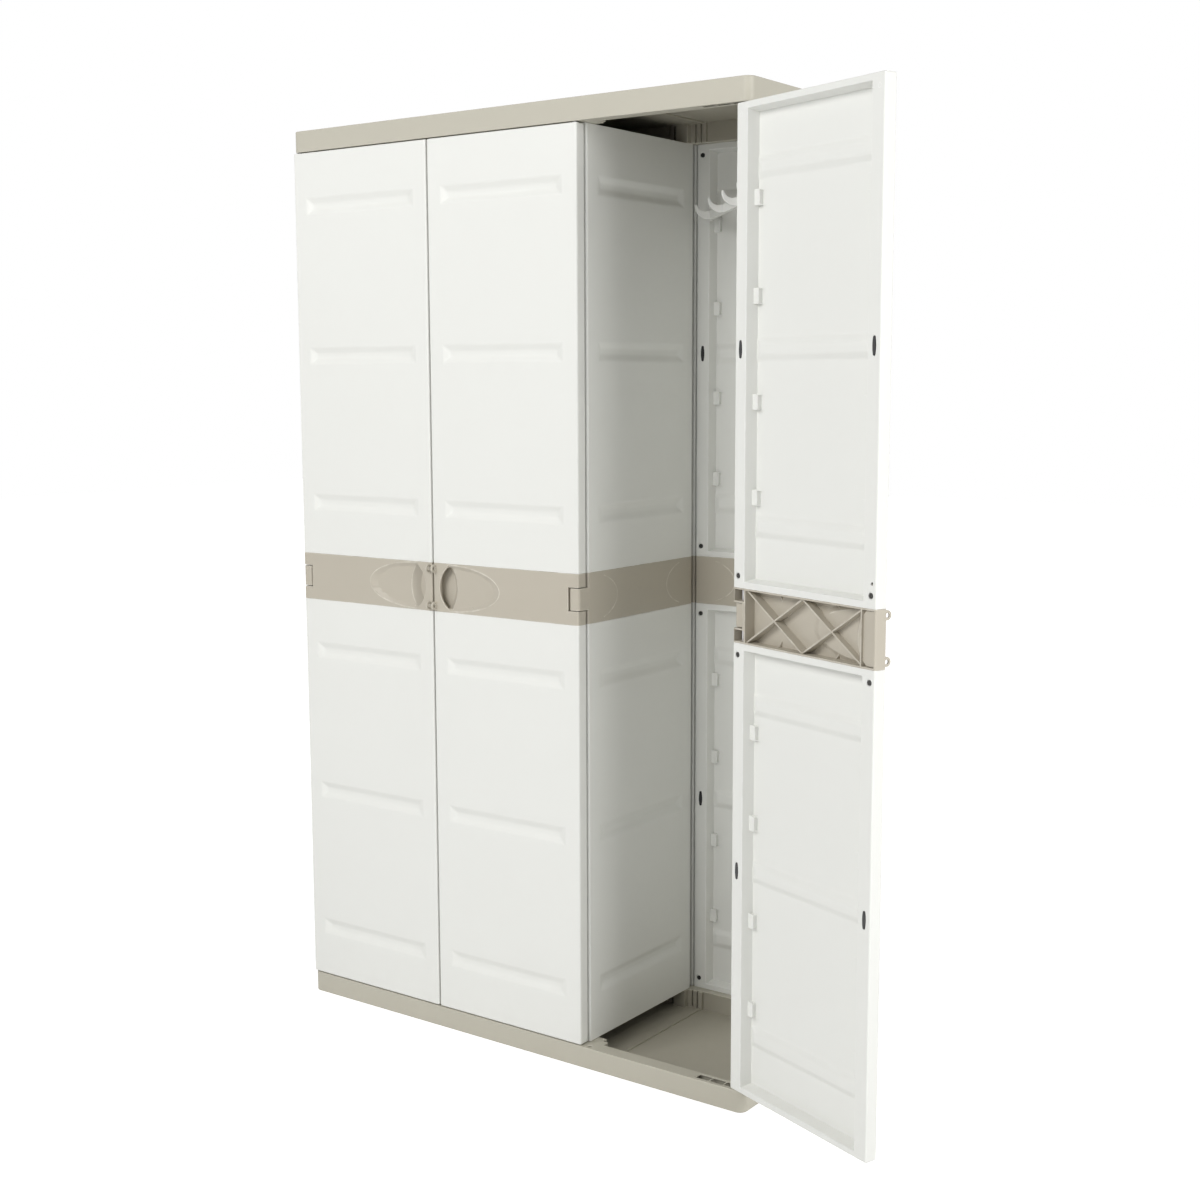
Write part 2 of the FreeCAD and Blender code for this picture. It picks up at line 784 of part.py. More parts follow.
def peg(side, flank_x):
    """Shelf peg: a ledge over a clip and a tongue down through it. z = 0 is the clip's top."""
    middle = flank_x + side * clip_offset
    near = flank_x + side * peg_reach_start
    far = flank_x + side * clip_reach
    ledge = box(min(near, far), max(near, far), peg_back_depth, panel_thickness + peg_ledge, 0, peg_height)
    half_x = clip_slot_reach / 2 - peg_clearance
    half_y = clip_slot_thickness / 2 - peg_clearance
    tongue = box(
        middle - half_x, middle + half_x, clip_mid_depth - half_y, clip_mid_depth + half_y, -peg_tongue, 1
    )
    return ledge.fuse(tongue).removeSplitter()


def shelf_clip_levels():
    """Heights of the clip tops that carry shelves, from the bottom up."""
    lower_middle = tray_height + wall_panel_height / 2
    upper_middle = band_top + wall_panel_height / 2
    top = clip_height / 2
    return [
        lower_middle - clip_pitch_inner + top,
        lower_middle + clip_pitch_outer + top,
        upper_middle - clip_pitch_outer + top,
        upper_middle + clip_pitch_inner + top,
    ]


def shelf_pegs(level):
    """The four pegs under the shelf at one level, two on the left wall and two on the partition."""
    pegs = []
    for wall in (left_wall, partition):
        for side, flank in ((1, stile_width), (-1, wall["width"] - stile_width)):
            pegs.append(on_wall(peg(side, flank), wall, level))
    return Part.makeCompound(pegs)


def hook_rail():
    """Rail laid cornerwise over the tall compartment, from a back clip to the right wall's front clip."""
    level = band_top + wall_panel_height / 2 + clip_pitch_outer + clip_height / 2
    bottom = level - rail_drop
    top = bottom + rail_depth
    half = rail_thickness / 2
    flank_x = partition_x + side_gap + stile_width
    flank_y = wall_front_y + stile_width
    start = vec(flank_x + peg_reach_start - rail_start, back_inner_y - rail_face_gap - half, bottom)
    end_y = flank_y + clip_offset + rail_foot_length
    end = vec(half_width - panel_thickness - rail_wall_gap - half, end_y, bottom)
    way = end - start
    length = way.Length
    bar = box(0, length, -half, half, 0, rail_depth)
    pieces = [bar, upright(half, 0, 0, 0, rail_depth), upright(half, length, 0, 0, rail_depth)]
    for index in range(hook_count):
        pieces.append(hook(hook_first + index * hook_pitch))
    rail = fused(pieces)
    rail.rotate(vec(0, 0, 0), vec(0, 0, 1), math.degrees(math.atan2(way.y, way.x)))
    rail.translate(start)
    back_x0 = flank_x + peg_reach_start
    back_x1 = flank_x + clip_reach
    wall_y0 = flank_y + peg_reach_start
    wall_y1 = flank_y + clip_reach
    deep_x = half_width - peg_back_depth
    feet = [
        box(start.x, back_x1, start.y - half, start.y + half, bottom, top),
        box(back_x0, back_x1, start.y, back_y - peg_back_depth, level, top),
        box(end.x - half, end.x + half, wall_y0, end.y, bottom, top),
        box(end.x, deep_x, wall_y0, wall_y1, level, top),
    ]
    short = clip_slot_thickness / 2 - peg_clearance
    long = clip_slot_reach / 2 - peg_clearance
    places = [
        (flank_x + clip_offset, back_y - clip_mid_depth, long, short),
        (half_width - clip_mid_depth, flank_y + clip_offset, short, long),
    ]
    tips = []
    for x, y, half_x, half_y in places:
        tips.append(box(x - half_x, x + half_x, y - half_y, y + half_y, level - peg_tongue, level + 1))
    return fused([rail] + feet + tips)


def hook(along):
    """One upturned hook on the rail's front side, a crescent between two arcs."""
    face_y = -rail_thickness / 2

    def spot(out, up):
        return vec(along, face_y - out, up)

    tip_half = hook_tip_width / 2
    outer_end = spot(hook_reach, hook_rise)
    crown = spot(hook_reach - tip_half, hook_rise + tip_half)
    inner_end = spot(hook_reach - hook_tip_width, hook_rise)
    outer_bulge = spot(hook_outer_bulge_out, hook_outer_bulge_up)
    inner_bulge = spot(hook_inner_bulge_out, hook_inner_bulge_up)
    inner_root = spot(hook_root, hook_root_top)
    edges = [
        Part.LineSegment(spot(-1, 0), spot(hook_root, 0)).toShape(),
        Part.Arc(spot(hook_root, 0), outer_bulge, outer_end).toShape(),
        Part.Arc(outer_end, crown, inner_end).toShape(),
        Part.Arc(inner_end, inner_bulge, inner_root).toShape(),
        Part.LineSegment(inner_root, spot(-1, hook_root_top)).toShape(),
        Part.LineSegment(spot(-1, hook_root_top), spot(-1, 0)).toShape(),
    ]
    return Part.Face(Part.Wire(edges)).extrude(vec(hook_width, 0, 0))


def door_place(shape, index):
    """Put a piece of a door, drawn hinged at x = 0, in its place. All but the first hinge on their right."""
    left_edge = -half_width + index * module_width + side_gap
    copy = shape.copy()
    if index > 0:
        copy = swapped(copy, panel_width / 2)
    copy.translate(vec(left_edge, front_y, 0))
    if index == module_count - 1:
        copy.rotate(vec(half_width - hinge_inset, axis_y, 0), vec(0, 0, 1), open_angle_in_photo)
    return copy


def write(name, shape):
    shape.exportStep("parts/" + name + ".step")


def build_walls():
    """Upper and lower panels and the band of each wall, and their keys and screws."""
    keys = []
    screws = []
    for wall in walls:
        name = wall["name"]
        width = wall["width"]
        plate = panel(width, wall_panel_height, False)
        band = wall_band(width, wall in hinge_walls)
        if wall is left_wall:
            band = swapped(band, width / 2)
        write(name + "_upper_panel", on_wall(plate, wall, band_top))
        write(name + "_lower_panel", on_wall(flipped(plate, wall_panel_height / 2), wall, tray_height))
        write(name + "_band", on_wall(band, wall, band_bottom))
        for base in (tray_height, band_top):
            for key in key_pair(width, wall_panel_height):
                keys.append(on_wall(key, wall, base))
            for level in (screw_end_distance, wall_panel_height - screw_end_distance):
                for piece in screw_pair(width, level):
                    screws.append(on_wall(piece, wall, base))
    write("wall_keys", Part.makeCompound(keys))
    write("wall_screws", Part.makeCompound(screws))


def build_doors():
    """Panels, band, pins, keys and screws of the three doors."""
    plate = panel(panel_width, door_panel_height, True)
    band = door_band()
    axis_x = hinge_inset - side_gap
    lower_plate = flipped(plate, door_panel_height / 2)
    base = tray_height + door_end_gap
    pin_foot = tray_height - pivot_pin_engagement
    pin_top = base + pivot_pin_engagement
    foot_pin = upright(pivot_pin_radius, axis_x, hinge_setback, pin_foot, pin_top)
    pivot_pins = Part.makeCompound([foot_pin, flipped(foot_pin, overall_height / 2)])
    band_pin = upright(band_pin_radius, axis_x, hinge_setback, band_bottom + skin / 2, band_top - skin / 2)
    keys = []
    screws = []
    for z, screw_level in ((base, door_panel_height - screw_end_distance), (band_top, screw_end_distance)):
        for piece in key_pair(panel_width, door_panel_height):
            keys.append(placed(piece, 0, 0, 0, z))
        for piece in screw_pair(panel_width, screw_level):
            screws.append(placed(piece, 0, 0, 0, z))
    latch_x = panel_width - latch_hole_inset
    latch_hole = drill(latch_hole_radius, latch_x, latch_hole_level, recess_depth, panel_thickness + 1)
    pieces = {
        "upper_panel": placed(plate.cut(latch_hole), 0, 0, 0, band_top),
        "lower_panel": placed(lower_plate, 0, 0, 0, base),
        "band": placed(band, 0, 0, 0, band_bottom),
        "pivot_pins": pivot_pins,
        "band_pin": band_pin,
        "keys": Part.makeCompound(keys),
        "screws": Part.makeCompound(screws),
    }
    for index, door in enumerate(("left_door", "middle_door", "right_door")):
        for part_name, shape in pieces.items():
            write(door + "_" + part_name, door_place(shape, index))


def build_trays():
    base = tray()
    write("base_tray", base)
    write("cap_tray", flipped(base, overall_height / 2))


def build_fittings():
    plate = shelf()
    for index, level in enumerate(shelf_clip_levels()):
        name = "shelf_" + str(index + 1)
        write(name, placed(plate, 0, 0, 0, level + peg_height))
        write(name + "_pegs", shelf_pegs(level))
    write("hook_rail", hook_rail())


os.makedirs("parts", exist_ok=True)
build_trays()
build_walls()
build_doors()
build_fittings()
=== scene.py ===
# %% [markdown]
# # A garden storage cabinet, dressed for its portrait
# The cabinet is tall and moulded from off-white and beige-grey plastic. Three doors stand in a
# row; the right one is open and shows a narrow compartment with a hook rail.
# The solid model arrives finished from the CAD side, so this lesson is about what a camera sees:
# softened edges, moulded surfaces, light and a camera. We start by loading that solid model. It is
# the fixed frame: nothing in it is moved, and every new piece is hung on one of its bodies.

# %% Load the solid model
import json
import math

import bmesh
import bpy
import numpy
from mathutils import Matrix, Vector
from mathutils.geometry import delaunay_2d_cdt


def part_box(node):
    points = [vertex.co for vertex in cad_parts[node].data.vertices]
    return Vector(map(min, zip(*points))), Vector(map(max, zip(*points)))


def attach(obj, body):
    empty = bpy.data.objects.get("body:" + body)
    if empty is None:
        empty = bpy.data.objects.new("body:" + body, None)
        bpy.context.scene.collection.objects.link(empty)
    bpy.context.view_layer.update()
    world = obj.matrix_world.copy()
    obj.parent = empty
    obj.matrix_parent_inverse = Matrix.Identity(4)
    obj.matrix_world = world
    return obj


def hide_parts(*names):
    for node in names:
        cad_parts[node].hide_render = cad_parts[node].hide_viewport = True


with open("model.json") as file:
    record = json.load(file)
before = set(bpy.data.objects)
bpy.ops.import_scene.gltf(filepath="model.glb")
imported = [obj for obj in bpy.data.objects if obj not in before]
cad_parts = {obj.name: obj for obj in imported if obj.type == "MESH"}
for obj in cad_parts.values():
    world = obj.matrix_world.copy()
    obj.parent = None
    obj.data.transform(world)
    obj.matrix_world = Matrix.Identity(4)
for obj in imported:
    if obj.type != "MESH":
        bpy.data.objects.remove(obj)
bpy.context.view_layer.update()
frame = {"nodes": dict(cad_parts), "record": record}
nodes = frame["nodes"]
record = frame["record"]
body_of = {name: body for body, names in record["behaviour"]["bodies"].items() for name in names}
slot_of = {part["node"]: part["material_slot"] for part in record["subparts"]}

# %% [markdown]
# ## The camera
# A photograph is a perspective view, so the first thing to match is where the camera stood and how
# long its lens was. Upright lines that stay nearly parallel mean that the camera looked almost
# level; the strong slant of the cap and base means that it stood to the right, about three metres
# off. Blender's lens is given in millimetres for a sensor 36 mm wide. We build the camera's own
# axes from a heading, a tilt and a small roll, because three plain angles are easy to correct.

# %% Place the camera
mm = 0.001
camera_spot = Vector((1948.0, -2591.75, 1273.0)) * mm
heading = math.radians(35.88)
tilt = math.radians(-7.52)
roll = math.radians(-0.19)
lens_length = 50.0
sensor_width = 36.0
nearest_seen = 50.0 * mm


def add_object(name, data):
    """An object in the scene that holds a mesh, a lamp or a camera."""
    thing = bpy.data.objects.new(name, data)
    bpy.context.scene.collection.objects.link(thing)
    return thing


def make_camera():
    data = bpy.data.cameras.new("portrait_camera")
    data.lens = lens_length
    data.sensor_width = sensor_width
    data.clip_start = nearest_seen
    camera = add_object("portrait_camera", data)
    # A new camera looks straight down, so 90 degrees about X lift its view to level.
    turn = Matrix.Rotation(heading, 4, "Z") @ Matrix.Rotation(math.radians(90) + tilt, 4, "X")
    camera.matrix_world = Matrix.Translation(camera_spot) @ turn @ Matrix.Rotation(roll, 4, "Z")
    bpy.context.scene.camera = camera
    return camera


camera = make_camera()
bpy.context.scene.view_settings.view_transform = "Standard"
print("camera looks along", [round(c, 3) for c in camera.matrix_world.to_3x3() @ Vector((0, 0, -1))])

# %% [markdown]
# ## Shared effects for moulded plastic
# Nothing made in a mould is one flat colour. Four things give it away: a fine grain that was etched
# into the mould, slow drifts of tone where the plastic cooled, a thin polish along edges that hands
# and boxes rub, and dust that settles low down. Each is a small shader node group here, built
# once and reused with other numbers in every material. A group only gives out colours, masks or
# heights; the shader itself stays in the material, where a viewer or an exporter can find it.
# Nodes could be placed and linked one by one, but a few helpers make each of them a single line.

# %% Helpers that build node trees


def feed(tree, socket, value):
    """Link another node's output to the socket, or write a plain number or colour into it."""
    if isinstance(value, bpy.types.NodeSocket):
        tree.links.new(value, socket)
    else:
        socket.default_value = value


def add_math(tree, operation, first, second=None, third=None, clamp=False):
    node = tree.nodes.new("ShaderNodeMath")
    node.operation = operation
    node.use_clamp = clamp
    for socket, value in zip(node.inputs, (first, second, third)):
        if value is not None:
            feed(tree, socket, value)
    return node.outputs[0]


def add_mix(tree, factor, first, second):
    """Mix two colours. A Mix node has sockets of several kinds, and its colours are inputs 6 and 7."""
    node = tree.nodes.new("ShaderNodeMix")
    node.data_type = "RGBA"
    for index, value in ((0, factor), (6, first), (7, second)):
        feed(tree, node.inputs[index], value)
    return node.outputs[2]


def split_axes(tree, vector):
    node = tree.nodes.new("ShaderNodeSeparateXYZ")
    feed(tree, node.inputs[0], vector)
    return node.outputs


print("node helpers ready")

# %% [markdown]
# Most unevenness in these finishes is noise. Some of it is used as it is; some has so much contrast
# that it breaks up into patches, which is how dirt and wear come about on a real surface.

# %% Helpers for noise


def add_noise(tree, vector, scale, detail, roughness):
    node = tree.nodes.new("ShaderNodeTexNoise")
    for label, value in (("Vector", vector), ("Scale", scale), ("Detail", detail), ("Roughness", roughness)):
        feed(tree, node.inputs[label], value)
    return node.outputs[0]


def add_patches(tree, vector, scale, detail, roughness, contrast, shift):
    noise = add_noise(tree, vector, scale, detail, roughness)
    return add_math(tree, "MULTIPLY_ADD", noise, contrast, shift, clamp=True)


print("noise helpers ready")

# %% [markdown]
# A group needs its sockets before anything can be wired to them. Every group here wants to know the
# place on the piece, and two of them also which way the surface looks.

# %% Helpers that make a group and place it
place_input = ("Vector", "NodeSocketVector", (0, 0, 0))
normal_input = ("Normal", "NodeSocketVector", (0, 0, 1))


def new_group(name, inputs, outputs):
    """An empty group, with the sockets that it is given and those that take its results."""
    group = bpy.data.node_groups.new(name, "ShaderNodeTree")
    for label, kind, default in inputs:
        socket = group.interface.new_socket(label, in_out="INPUT", socket_type=kind)
        socket.default_value = default
    for label, kind in outputs:
        group.interface.new_socket(label, in_out="OUTPUT", socket_type=kind)
    given = group.nodes.new("NodeGroupInput").outputs
    results = group.nodes.new("NodeGroupOutput").inputs
    return group, given, results


def place_group(tree, group, **values):
    """A group placed in a material with its own values; an underscore stands for a space in a name."""
    node = tree.nodes.new("ShaderNodeGroup")
    node.node_tree = group
    for label, value in values.items():
        feed(tree, node.inputs[label.replace("_", " ")], value)
    return node.outputs


print("group helpers ready")

# %% [markdown]
# The **grain** is a height: two layers of noise, one as fine as sand and one a little coarser, both
# fixed to the piece itself. Real moulds are etched or spark-eroded to such a grain so that flow
# marks and fingerprints don't show. A Voronoi texture would look like leather; noise looks like
# the plain matt finish of garden furniture.

# %% The grain group
coarse_grains = 0.22
coarse_height = 0.6


def make_grain_group():
    group, given, results = new_group(
        "moulded_grain",
        [place_input, ("Grains per metre", "NodeSocketFloat", 900.0)],
        [("Height", "NodeSocketFloat")],
    )
    fine = add_noise(group, given["Vector"], given["Grains per metre"], detail=2.0, roughness=0.6)
    slower = add_math(group, "MULTIPLY", given["Grains per metre"], coarse_grains)
    coarse = add_noise(group, given["Vector"], slower, detail=1.0, roughness=0.5)
    feed(group, results["Height"], add_math(group, "MULTIPLY_ADD", coarse, coarse_height, fine))
    return group


grain_group = make_grain_group()
print("grain inputs:", [s.name for s in grain_group.interface.items_tree if s.in_out == "INPUT"])

# %% [markdown]
# The **tone drift** takes a colour and shifts it gently over hand-sized patches, one way warmer and
# darker, the other way cooler and lighter. It also gives out the drift itself, so that roughness
# can follow the same patches: plastic that cooled slowly is a little glossier.

# %% The tone drift group
broad_patches = 3.1
small_patches = 17.0
small_share = 0.35


def make_drift_group():
    group, given, results = new_group(
        "tone_drift",
        [
            place_input,
            ("Color", "NodeSocketColor", (0.8, 0.8, 0.8, 1)),
            ("Shaded color", "NodeSocketColor", (0.7, 0.7, 0.7, 1)),
            ("Amount", "NodeSocketFloat", 0.3),
        ],
        [("Color", "NodeSocketColor"), ("Drift", "NodeSocketFloat")],
    )
    broad = add_noise(group, given["Vector"], broad_patches, detail=2.0, roughness=0.45)
    small = add_noise(group, given["Vector"], small_patches, detail=3.0, roughness=0.55)
    broad = add_math(group, "MULTIPLY", broad, 1 - small_share)
    drift = add_math(group, "MULTIPLY_ADD", small, small_share, broad)
    factor = add_math(group, "MULTIPLY", drift, given["Amount"], clamp=True)
    feed(group, results["Color"], add_mix(group, factor, given["Color"], given["Shaded color"]))
    feed(group, results["Drift"], drift)
    return group


drift_group = make_drift_group()
print("drift inputs:", [s.name for s in drift_group.interface.items_tree if s.in_out == "INPUT"])

# %% [markdown]
# The **edge wear and highlight** group lightens and polishes the rounded edges, but not evenly: a noise
# eats into the mask, because hands touch some places more than others. The lighter colour is partly wear
# and partly painted highlight, where light catches an edge. The mask is an attribute that we store on the
# mesh when its edges are rounded, so the wear and the painted highlight sit exactly on the edges from
# every side.

# %% The edge wear and painted highlight group
rubbed_patches = 46.0


def make_highlight_and_wear_group():
    group, given, results = new_group(
        "edge_wear_and_highlight",
        [
            place_input,
            ("Edge", "NodeSocketFloat", 0.0),
            ("Color", "NodeSocketColor", (0.8, 0.8, 0.8, 1)),
            ("Worn color", "NodeSocketColor", (0.9, 0.9, 0.9, 1)),
        ],
        [("Color", "NodeSocketColor"), ("Wear and highlight", "NodeSocketFloat")],
    )
    uneven = add_patches(
        group, given["Vector"], rubbed_patches, detail=3.0, roughness=0.6, contrast=2.4, shift=-0.75
    )
    wear_and_highlight = add_math(group, "MULTIPLY", given["Edge"], uneven)
    # The mask lightens the colour on rounded edges: partly wear, partly painted highlight.
    feed(group, results["Color"], add_mix(group, wear_and_highlight, given["Color"], given["Worn color"]))
    feed(group, results["Wear and highlight"], wear_and_highlight)
    return group


highlight_and_wear_group = make_highlight_and_wear_group()
print("rubbed edge inputs:", [s.name for s in highlight_and_wear_group.interface.items_tree if s.in_out == "INPUT"])

# %% [markdown]
# The **settled dust** is a mask made of two things: how low a point lies, because rain throws dirt
# up from the ground, and how far a face looks up, because dust comes to rest there.

# %% The settled dust group
ground_dust = 0.6
ground_falloff = 3.0
upward_dust = 0.55
dust_patches = 30.0


def make_dust_group():
    group, given, results = new_group(
        "settled_dust",
        [place_input, normal_input, ("Reach", "NodeSocketFloat", 0.25)],
        [("Dust", "NodeSocketFloat")],
    )
    height = split_axes(group, given["Vector"])["Z"]
    low = add_math(group, "DIVIDE", height, given["Reach"])
    low = add_math(group, "SUBTRACT", 1.0, low, clamp=True)
    low = add_math(group, "POWER", low, ground_falloff)
    upward = split_axes(group, given["Normal"])["Z"]
    upward = add_math(group, "MULTIPLY", upward, upward_dust, clamp=True)
    both = add_math(group, "MULTIPLY_ADD", low, ground_dust, upward, clamp=True)
    mottle = add_patches(
        group, given["Vector"], dust_patches, detail=4.0, roughness=0.65, contrast=2.2, shift=-0.7
    )
    feed(group, results["Dust"], add_math(group, "MULTIPLY", both, mottle))
    return group


dust_group = make_dust_group()
print("dust inputs:", [s.name for s in dust_group.interface.items_tree if s.in_out == "INPUT"])

# %% [markdown]
# The **painted tray shade** is a mask too: the floor, ribs and posts inside the lower tray, and the same
# inside the upper one. It gives them a deeper tone as painted shade, for the shade that falls inside the
# trays and under the cap. A second material on those faces would do as well, but a box in space needs
# no picking of faces: it is as wide and deep as the rims leave free, and as high as a rim at the foot
# and at the top. The underside of the base and the top of the cap lie in it too, so it also asks which
# way a face looks.

# %% The painted tray shade group
tray_half_width = 515.0 * mm
tray_half_depth = 195.0 * mm
tray_rim = 39.0 * mm
cabinet_top = 1760.0 * mm
half_upright = 0.5


def make_shade_in_trays_group():
    group, given, results = new_group(
        "tray_painted_shade",
        [
            place_input,
            normal_input,
            ("Half width", "NodeSocketFloat", tray_half_width),
            ("Half depth", "NodeSocketFloat", tray_half_depth),
            ("Rim", "NodeSocketFloat", tray_rim),
            ("Top", "NodeSocketFloat", cabinet_top),
        ],
        [("Inside", "NodeSocketFloat")],
    )
    place = split_axes(group, given["Vector"])
    upward = split_axes(group, given["Normal"])["Z"]
    within = []
    for axis, limit in (("X", "Half width"), ("Y", "Half depth")):
        away = add_math(group, "ABSOLUTE", place[axis])
        within.append(add_math(group, "LESS_THAN", away, given[limit]))
    low = add_math(group, "LESS_THAN", place["Z"], given["Rim"])
    low = add_math(group, "MULTIPLY", low, add_math(group, "GREATER_THAN", upward, -half_upright))
    roof_level = add_math(group, "SUBTRACT", given["Top"], given["Rim"])
    high = add_math(group, "GREATER_THAN", place["Z"], roof_level)
    high = add_math(group, "MULTIPLY", high, add_math(group, "LESS_THAN", upward, half_upright))
    either = add_math(group, "ADD", low, high, clamp=True)
    inner = add_math(group, "MULTIPLY", *within)
    feed(group, results["Inside"], add_math(group, "MULTIPLY", either, inner))
    return group


painted_tray_shade_group = make_shade_in_trays_group()
print("groups:", sorted(g.name for g in bpy.data.node_groups))

# %% [markdown]
# ## The plastics
# Off-white for the panels, a warm beige-grey for the bands, a greyer one for the trays and a lighter
# one for the shelves, pale grey for the hook rail and black for the joining keys. They differ in
# colour and gloss only, so one function makes them all. The Principled shader is the right one for
# plastic: a coloured base under a thin clear reflection whose sharpness is the roughness. The grain
# goes through a Bump node, because it is far too small for real geometry.

# %% Helpers that start a material and give it a relief


def new_material(name, colour):
    """A material, its node tree and its Principled shader."""
    material = bpy.data.materials.new(name)
    material.use_nodes = True
    material.diffuse_color = (*colour, 1)
    tree = material.node_tree
    return material, tree, tree.nodes["Principled BSDF"]


def place_on_piece(tree):
    """The place in the piece's own axes, so that a texture moves with its piece."""
    return tree.nodes.new("ShaderNodeTexCoord").outputs["Object"]


def add_relief(tree, shader, height, strength, distance):
    relief = tree.nodes.new("ShaderNodeBump")
    for label, value in (("Strength", strength), ("Distance", distance), ("Height", height)):
        feed(tree, relief.inputs[label], value)
    feed(tree, shader.inputs["Normal"], relief.outputs[0])


print("material helpers ready")

# %% [markdown]
# The gloss of plastic is never even. It follows the drift of tone; a rubbed place is smoother, and a
# dusty one is duller.

# %% The gloss of a plastic
tone_change = 0.14
wear_change = -0.12
dust_change = 0.12


def plastic_gloss(tree, roughness, drift, wear_and_highlight, dust):
    gloss = add_math(tree, "MULTIPLY_ADD", drift, tone_change, roughness - tone_change / 2)
    gloss = add_math(tree, "MULTIPLY_ADD", wear_and_highlight, wear_change, gloss)
    return add_math(tree, "MULTIPLY_ADD", dust, dust_change, gloss, clamp=True)


print("roughness moves by up to", tone_change, "with the tone")

# %% [markdown]
# Here the groups meet. The colour drifts, the edges are lighter with wear and painted highlight, a thin
# veil of dust lies over both, and the insides of the trays are darkened with painted shade. What is the
# same all over, such as the index of refraction, is a plain number on the shader.

# %% One function for every moulded plastic
plastic_ior = 1.47
tone_amount = 0.5
dust_colour = (0.42, 0.36, 0.28)
dust_share = 0.28
dust_reach = 0.3
dust_veil = 0.35
grain_strength = 0.55


def moulded_plastic(name, colour, shaded, worn_and_highlit, roughness, grain=900.0, depth=0.05 * mm, inside=None):
    material, tree, shader = new_material(name, colour)
    spot = place_on_piece(tree)
    facing = tree.nodes.new("ShaderNodeNewGeometry").outputs["Normal"]
    edge = tree.nodes.new("ShaderNodeAttribute")
    edge.attribute_name = "rounded_edge"
    tone = place_group(
        tree, drift_group, Vector=spot, Color=(*colour, 1), Shaded_color=(*shaded, 1), Amount=tone_amount
    )
    # Rounded edges and ridges get the lighter colour, which is wear and painted highlight.
    lighter_edges = place_group(
        tree, highlight_and_wear_group, Vector=spot, Edge=edge.outputs["Fac"], Color=tone["Color"], Worn_color=(*worn_and_highlit, 1)
    )
    dust = place_group(tree, dust_group, Vector=spot, Normal=facing, Reach=dust_reach)["Dust"]
    dusty = tuple((1 - dust_share) * c + dust_share * d for c, d in zip(shaded, dust_colour))
    veil = add_math(tree, "MULTIPLY", dust, dust_veil)
    surface = add_mix(tree, veil, lighter_edges["Color"], (*dusty, 1))
    # Painted shade: inside the trays and under the cap, the colour is mixed towards the darker `inside`
    # colour.
    if inside:
        painted_shade = place_group(tree, painted_tray_shade_group, Vector=spot, Normal=facing)
        surface = add_mix(tree, painted_shade["Inside"], surface, (*inside, 1))
    feed(tree, shader.inputs["Base Color"], surface)
    gloss = plastic_gloss(tree, roughness, tone["Drift"], lighter_edges["Wear and highlight"], dust)
    feed(tree, shader.inputs["Roughness"], gloss)
    shader.inputs["IOR"].default_value = plastic_ior
    texture = place_group(tree, grain_group, Vector=spot, Grains_per_metre=grain)
    add_relief(tree, shader, texture["Height"], grain_strength, depth)
    return material


print("plastic function ready, index of refraction", plastic_ior)

# %% [markdown]
# Each plastic has three colours: the plain one, the one it drifts to, and the lighter one of its edges
# and ridges, which is partly wear and partly painted highlight. The keys and the hook rail come from
# small, finely polished moulds, so their grain is finer and less deep.

# %% The plastics of this cabinet
finishes = {
    "panels": moulded_plastic(
        "off_white_plastic",
        colour=(0.80, 0.805, 0.77), shaded=(0.76, 0.76, 0.72), worn_and_highlit=(0.86, 0.86, 0.84), roughness=0.46,
    ),
    "bands": moulded_plastic(
        "beige_grey_plastic",
        colour=(0.49, 0.45, 0.375), shaded=(0.445, 0.41, 0.335), worn_and_highlit=(0.68, 0.65, 0.57), roughness=0.44,
    ),
    "trays": moulded_plastic(
        "deep_beige_grey_plastic",
        colour=(0.505, 0.483, 0.405), shaded=(0.455, 0.432, 0.36), worn_and_highlit=(0.61, 0.59, 0.51), roughness=0.48,
        # The `inside` colour is painted shade for the insides of the trays and the space under the cap.
        inside=(0.385, 0.362, 0.298),
    ),
    "shelves": moulded_plastic(
        "shelf_plastic",
        colour=(0.54, 0.50, 0.43), shaded=(0.49, 0.455, 0.385), worn_and_highlit=(0.62, 0.59, 0.52), roughness=0.5,
    ),
    "fittings": moulded_plastic(
        "pale_grey_plastic",
        colour=(0.80, 0.80, 0.77), shaded=(0.74, 0.74, 0.71), worn_and_highlit=(0.85, 0.85, 0.83), roughness=0.4,
        grain=1200.0, depth=0.03 * mm,
    ),
    "joining_keys": moulded_plastic(
        "black_plastic",
        colour=(0.018, 0.018, 0.019), shaded=(0.03, 0.03, 0.03), worn_and_highlit=(0.06, 0.06, 0.06), roughness=0.42,
        grain=1400.0, depth=0.03 * mm,
    ),
}
print("plastics:", sorted(m.name for m in bpy.data.materials if "plastic" in m.name))

# %% [markdown]
# ## The metals
# The screws are near-black steel and the hinge pins are bright. Plating is never a mirror: it has
# cloudy patches and fine scratches, so the roughness comes from a stretched noise, and a bloom of
# dull oxide darkens the colour here and there.

# %% Plated steel
scratches_per_metre = 2600.0
scratch_stretch = (1, 1, 0.12)
scratch_change = 0.3
scratch_shift = -0.1
scratch_strength = 0.3
scratch_depth = 0.02 * mm


def plated_steel(name, colour, dull, roughness):
    material, tree, shader = new_material(name, colour)
    spot = place_on_piece(tree)
    bloom = place_group(
        tree, drift_group, Vector=spot, Color=(*colour, 1), Shaded_color=(*dull, 1), Amount=1.0
    )
    feed(tree, shader.inputs["Base Color"], bloom["Color"])
    stretch = tree.nodes.new("ShaderNodeMapping")
    stretch.inputs["Scale"].default_value = scratch_stretch
    feed(tree, stretch.inputs["Vector"], spot)
    scratches = add_noise(tree, stretch.outputs[0], scratches_per_metre, detail=3.0, roughness=0.7)
    gloss = add_math(tree, "MULTIPLY_ADD", scratches, scratch_change, roughness + scratch_shift)
    feed(tree, shader.inputs["Roughness"], gloss)
    shader.inputs["Metallic"].default_value = 1.0
    add_relief(tree, shader, scratches, scratch_strength, scratch_depth)
    return material


